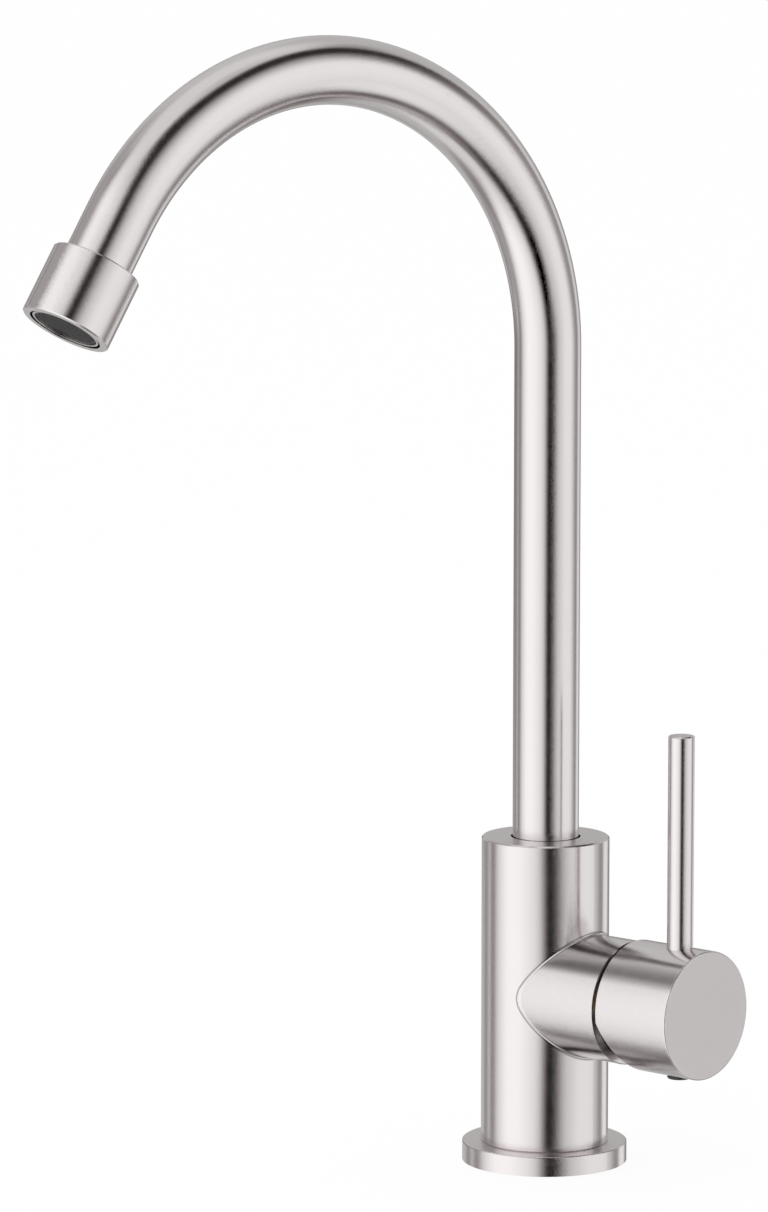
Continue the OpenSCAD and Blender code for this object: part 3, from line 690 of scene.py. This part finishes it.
deselect()
bpy.ops.mesh.primitive_grid_add(x_subdivisions=BEAD_STEPS, y_subdivisions=BEAD_ROWS - 1, size=2)
bead = bpy.context.object
bead.name = "boss_bead"
for vertex in bead.data.vertices:
    turn = (vertex.co.x + 1) * math.pi
    row = round((vertex.co.y + 1) / 2 * (BEAD_ROWS - 1))
    vertex.co = bead_point(turn, row)
edit_all()
bpy.ops.mesh.remove_doubles(threshold=0.002 * MM)
bpy.ops.mesh.normals_make_consistent(inside=False)
object_mode()
bpy.ops.object.shade_smooth()
bead_steel = steel("bead_steel")
point, (x, y, z) = place(bead_steel)
brush(bead_steel, x + z, (1, 0, 0), point, rough=0.17, lean=0.10)
dress(bead, bead_steel)
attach(bead, "body")
print("bead:", len(bead.data.polygons), "faces")

# %% [markdown]
# ## The camera
# It stands 1.9 m away, a little above the spout, and looks slightly down with a long lens. The
# lens is worked out from the picture's height in pixels, since the longer side sets the view.

# %% Place the camera
CAMERA_REACH = 1.9
CAMERA_HEIGHT = 0.44624
CAMERA_SIDE = math.radians(40.677)
CAMERA_TURN = math.radians(1.6215)
CAMERA_DOWN = math.radians(7.787)
CAMERA_TILT = math.radians(0.035)
FOCAL_PIXELS = 5799.0
PICTURE_HEIGHT = 1212

camera_data = bpy.data.cameras.new("photo_camera")
camera = bpy.data.objects.new("photo_camera", camera_data)
bpy.context.scene.collection.objects.link(camera)
camera_data.sensor_width = 36
camera_data.lens = FOCAL_PIXELS / PICTURE_HEIGHT * camera_data.sensor_width
camera_data.clip_end = 60
camera.location = (CAMERA_REACH * math.sin(CAMERA_SIDE), -CAMERA_REACH * math.cos(CAMERA_SIDE), CAMERA_HEIGHT)
aim = Matrix.Rotation(CAMERA_SIDE + CAMERA_TURN, 3, "Z") @ Matrix.Rotation(math.pi / 2 - CAMERA_DOWN, 3, "X")
camera.rotation_euler = (aim @ Matrix.Rotation(CAMERA_TILT, 3, "Z")).to_euler()
bpy.context.scene.camera = camera
print("lens:", round(camera_data.lens, 2), "mm")

# %% [markdown]
# ## The floor and the white room
# The world is even white light. The floor is white to the camera and only softly darker where the
# tap keeps the light off it. It is left out of the metal's reflections, because in the photo the
# tap mirrors a studio that goes on below it.

# %% Floor, world and lamp
FLOOR_R = 20
FLOOR_Z = -0.05 * MM
FLOOR_WHITE = (0.96, 0.96, 0.96, 1)
FLOOR_SEEN_WHITE = 0.92
LAMP_WATTS = 6
LAMP_SIDE = 1.2
LAMP_PLACE = Vector((0.2, -1.6, 1.8))
LAMP_AIM = Vector((0, 0, 0.1))


def stage_piece(piece, name, finish):
    piece.name = name
    dress(piece, finish)
    return piece


floor_white = Finish("floor_white", roughness=0.9)
floor_white.shader.inputs["Base Color"].default_value = FLOOR_WHITE
seen = floor_white.node("ShaderNodeLightPath", output="Is Camera Ray")
white = floor_white.node("ShaderNodeEmission", inputs={"Color": (1, 1, 1, 1), "Strength": 1.0})
shaded = Value(floor_white, floor_white.shader.outputs[0])
mixed = {0: seen * FLOOR_SEEN_WHITE, 1: shaded, 2: white}
floor_white.surface(floor_white.node("ShaderNodeMixShader", inputs=mixed))

deselect()
bpy.ops.mesh.primitive_circle_add(vertices=128, radius=FLOOR_R, fill_type="NGON", location=(0, 0, FLOOR_Z))
floor = stage_piece(bpy.context.object, "floor", floor_white)
floor.visible_glossy = False

room = bpy.context.scene.world or bpy.data.worlds.new("white_room")
bpy.context.scene.world = room
room.use_nodes = True
room.node_tree.nodes["Background"].inputs["Color"].default_value = (1, 1, 1, 1)
room.node_tree.nodes["Background"].inputs["Strength"].default_value = 1.0

lamp_data = bpy.data.lights.new("soft_lamp", "AREA")
lamp_data.energy = LAMP_WATTS
lamp_data.size = LAMP_SIDE
lamp = bpy.data.objects.new("soft_lamp", lamp_data)
bpy.context.scene.collection.objects.link(lamp)
lamp.location = LAMP_PLACE
lamp.rotation_euler = (LAMP_AIM - LAMP_PLACE).to_track_quat("-Z", "Y").to_euler()
lamp.visible_glossy = False
print("floor, world and one soft lamp are in place")

# %% [markdown]
# ## The tent that the metal mirrors
# Polished and brushed metal shows hardly any colour of its own, only what stands round it. A
# product photographer hangs a grey tent round the tap, with one large soft window on the left, one
# on the right, and a black frame between them that draws the dark line down the middle of every
# round piece. The tent here is one large sphere that only reflections can see. Its light is a
# function of direction: degrees to the right of the camera, and degrees above the horizon.
# Everything in it is hung by two helpers, a soft-edged `pane` and a `bank` across by a `bank` up.
# An upright wall mirrors only the directions at which the camera looks down on it, so three narrow
# bands below the horizon belong to the ring, the column and the tube's foot.

# %% Directions in the tent
DEGREE = 180 / math.pi
tent_light = Finish("tent_light")
point, (x, y, z) = place(tent_light)
side = tent_light.node("ShaderNodeMath", {"operation": "ARCTAN2"}, {0: y, 1: x}) * DEGREE
ground = length(tent_light, x, y)
rise = tent_light.node("ShaderNodeMath", {"operation": "ARCTAN2"}, {0: z, 1: ground}) * DEGREE
left_side = 0 - side


def pane(left, right, low, high, power, soft):
    """1 inside a rectangle with rounded corners and soft edges, 0 outside it."""
    across_part = abs((side - (left + right) / 2) * (2 / (right - left))) ** power
    upright_part = abs((rise - (low + high) / 2) * (2 / (high - low))) ** power
    return 1 - ramp((across_part + upright_part) ** (1 / power), 1 - soft, 1 + soft)


def over(mask, under, above):
    return blend(tent_light, mask, under, above)


low_band = bank(rise, -17, -13, -9.8, -8.6)
body_band = bank(rise, -13.2, -11.6, -10.2, -9)
column_band = bank(rise, -12.0, -11.2, -10.0, -9.4)
print("directions, panes and the three low bands are ready")

# %% [markdown]
# ## The cloth
# An even grey, lighter towards the top and the bottom. Folds and the stands behind the cloth make
# it lighter or darker in patches. Each patch below has where it fades in and out across, where it
# fades in and out upwards, and how much light it adds or takes. Those on the left are measured in
# degrees to the left of the camera.

# %% Hang the cloth
CLOTH = 0.56
LEFT_PATCHES = (
    ((96, 104, 138, 150), (-72, -58, 38, 50), -0.15),
    ((92, 98, 104, 116), (34, 42, 50, 58), -0.22),
    ((130, 140, 150, 160), (-12, 0, 4, 16), -0.16),
    ((103, 108, 113, 119), (-18, -12, 4, 14), -0.14),
    ((94, 108, 134, 148), (-62, -54, -44, -36), -0.13),
)
RIGHT_PATCHES = (
    ((142, 149, 157, 168), (-52, -42, -26, -18), -0.30),
    ((114, 124, 142, 156), (-66, -56, -43, -33), -0.36),
    ((112, 120, 132, 144), (40, 46, 54, 62), -0.22),
)
# Patches that run on to the back of the tent, with only the edge where they fade in
LEFT_BACK_PATCHES = (
    ((136, 148), (26, 36, 52, 60), 0.08),
    ((138, 150), (-11, -8, 2, 14), -0.26),
)

cloth = CLOTH + ramp(rise, 50, 64) * 0.24 + (1 - ramp(rise, -74, -60)) * 0.25
for sideways, patches in ((left_side, LEFT_PATCHES), (side, RIGHT_PATCHES)):
    for across_edges, upright_edges, amount in patches:
        cloth = cloth + bank(sideways, *across_edges) * bank(rise, *upright_edges) * amount
for across_edges, upright_edges, amount in LEFT_BACK_PATCHES:
    cloth = cloth + ramp(left_side, *across_edges) * bank(rise, *upright_edges) * amount
cloth = cloth - ramp(side, 148, 158) * bank(rise, -22, -14, 2, 14) * 0.28
cloth = cloth - ramp(abs(side), 154, 166) * bank(rise, -46, -40, -32, -26) * 0.14
cloth = cloth - bank(side, 0, 40, 90, 130) * ramp(rise, 60, 75) * 0.20

stand = bank(left_side, 126, 134, 136, 144) * bank(rise, -42, -20, 14, 28)
cloth = cloth - stand * (0.14 - low_band * 0.08)
cloth = cloth + bank(left_side, 112, 119, 123, 130) * low_band * 0.26
bar_end = side + ramp(rise, -8, 4) * 7
bar = ramp(side, 122, 132) * (1 - ramp(bar_end, 146, 154)) * bank(rise, -42, -18, 10, 32)
cloth = cloth + bar * (low_band * 0.20 + 0.22)
print("cloth:", len(LEFT_PATCHES + RIGHT_PATCHES + LEFT_BACK_PATCHES), "patches")

# %% [markdown]
# ## The black frame
# One wide pane, nearly black in the middle, where only the camera stands. It gets a little light
# from the cloth at its right end and below.

# %% Stand the frame before the cloth
frame_level = 0.02 + ramp(side, 102, 116) * (1 - ramp(rise, 8, 38)) * (ramp(rise, -30, -14) * 0.17 + 0.10)
frame_level = frame_level + (1 - ramp(rise, -74, -58)) * 0.20
frame_level = frame_level + bank(side, 118, 125, 134, 140) * bank(rise, -20, -12, 0, 8) * 0.10
light = over(pane(-28, 128, -84, 70, 3.8, 0.07), cloth, frame_level)
print("the frame hangs between the two windows")

# %% [markdown]
# ## The left window
# The brighter of the two. Its light falls off towards the frame and towards the floor and the
# ceiling, and its right edge leans to the right higher up, as the line on the bend does.

# %% Open the left window
edge_side = side - ramp(rise, 10, 36) * 5 + column_band * 2.5
left_level = 1.20 - ramp(side, -56, -10) * 0.26 - ramp(edge_side, -24, 0) * 0.34
left_level = left_level * (ramp(side, -103, -68) * 0.34 + 0.66)
left_level = left_level - ramp(rise, 38, 58) * 0.28 - (1 - ramp(rise, -66, -46)) * 0.30

outer_side = side - ramp(rise, 38, 48) * 8 + bank(rise, 26, 33, 38, 45) * 2.5 + low_band * 4
outer_edge = ramp(outer_side, -103.5, -89.5)
inner_edge = 1 - ramp(edge_side, -12, 6 - column_band * 3)
light = over(outer_edge * inner_edge * bank(rise, -82, -68, 56, 66), light, left_level)
print("the left window is open")

# %% [markdown]
# ## The right window
# Dimmer, and further off: its light grows slowly from the frame to the middle and sinks again on
# its far side, later near the horizon than above it.

# %% Open the right window
right_side = side + low_band * 3 + body_band * 6 + column_band * 4
dark_end = 15 + bank(rise, -9.6, -7.5, 6, 18) * 4
right_level = ramp(right_side, dark_end, 45 - low_band * 6 - column_band * 2) * 0.76
right_level = right_level + ramp(side, 40, 68) * (ramp(rise, -10, 2) * 0.05 + 0.21)
right_level = right_level - bank(rise, -33, -27, -21, -15) * 0.05

far_side = side - 2.5 - low_band * 1.5 + ramp(rise, -15, 2) * 10 - ramp(rise, 2, 12) * 4
far_side = far_side + ramp(rise, 5, 32) * 10.5 + (1 - ramp(rise, -34, -18)) * 3.5
upper = ramp(rise, 0, 12)
far_dark = ramp(far_side, 88 + upper * 4, 122 - upper * 3)
right_level = right_level - far_dark * (ramp(rise, 8, 38) * 0.25 + 0.69)
right_mask = pane(6, 124, -64, 50, 2.6, 0.14) * ramp(rise, -76, -46) * (1 - ramp(rise, 18, 61))
light = over(right_mask, light, right_level)
print("the right window is open")

# %% [markdown]
# ## Hang the tent round the tap
# The shadows of the tent are a little warmer than its lights, which gives the dark lines on the
# steel their brown tone. The sphere is turned so that 0 degrees lies behind the camera.

# %% The tent's sphere
TENT_R = 30
SHADE_WARMTH = (1.15, 1.01, 0.97)

shade_colour = tint(tent_light, ramp(light, 0.0, 0.55), SHADE_WARMTH, (1, 1, 1))
tent_light.surface(tent_light.node("ShaderNodeEmission", inputs={"Color": shade_colour, "Strength": light}))
tent_light.data.cycles.emission_sampling = "NONE"

deselect()
bpy.ops.mesh.primitive_uv_sphere_add(segments=48, ring_count=24, radius=TENT_R)
tent = stage_piece(bpy.context.object, "studio_tent", tent_light)
tent.rotation_euler = (0, 0, CAMERA_SIDE - math.pi / 2)
for kind in ("camera", "diffuse", "transmission", "volume_scatter", "shadow"):
    setattr(tent, "visible_" + kind, False)
print("tent light:", len(tent_light.tree.nodes), "nodes")

# %% [markdown]
# ## Colours as they are
# The Standard view shows a colour as it is written, which keeps the steel's tone and the white
# ground honest.


bpy.context.scene.view_settings.view_transform = "Standard"
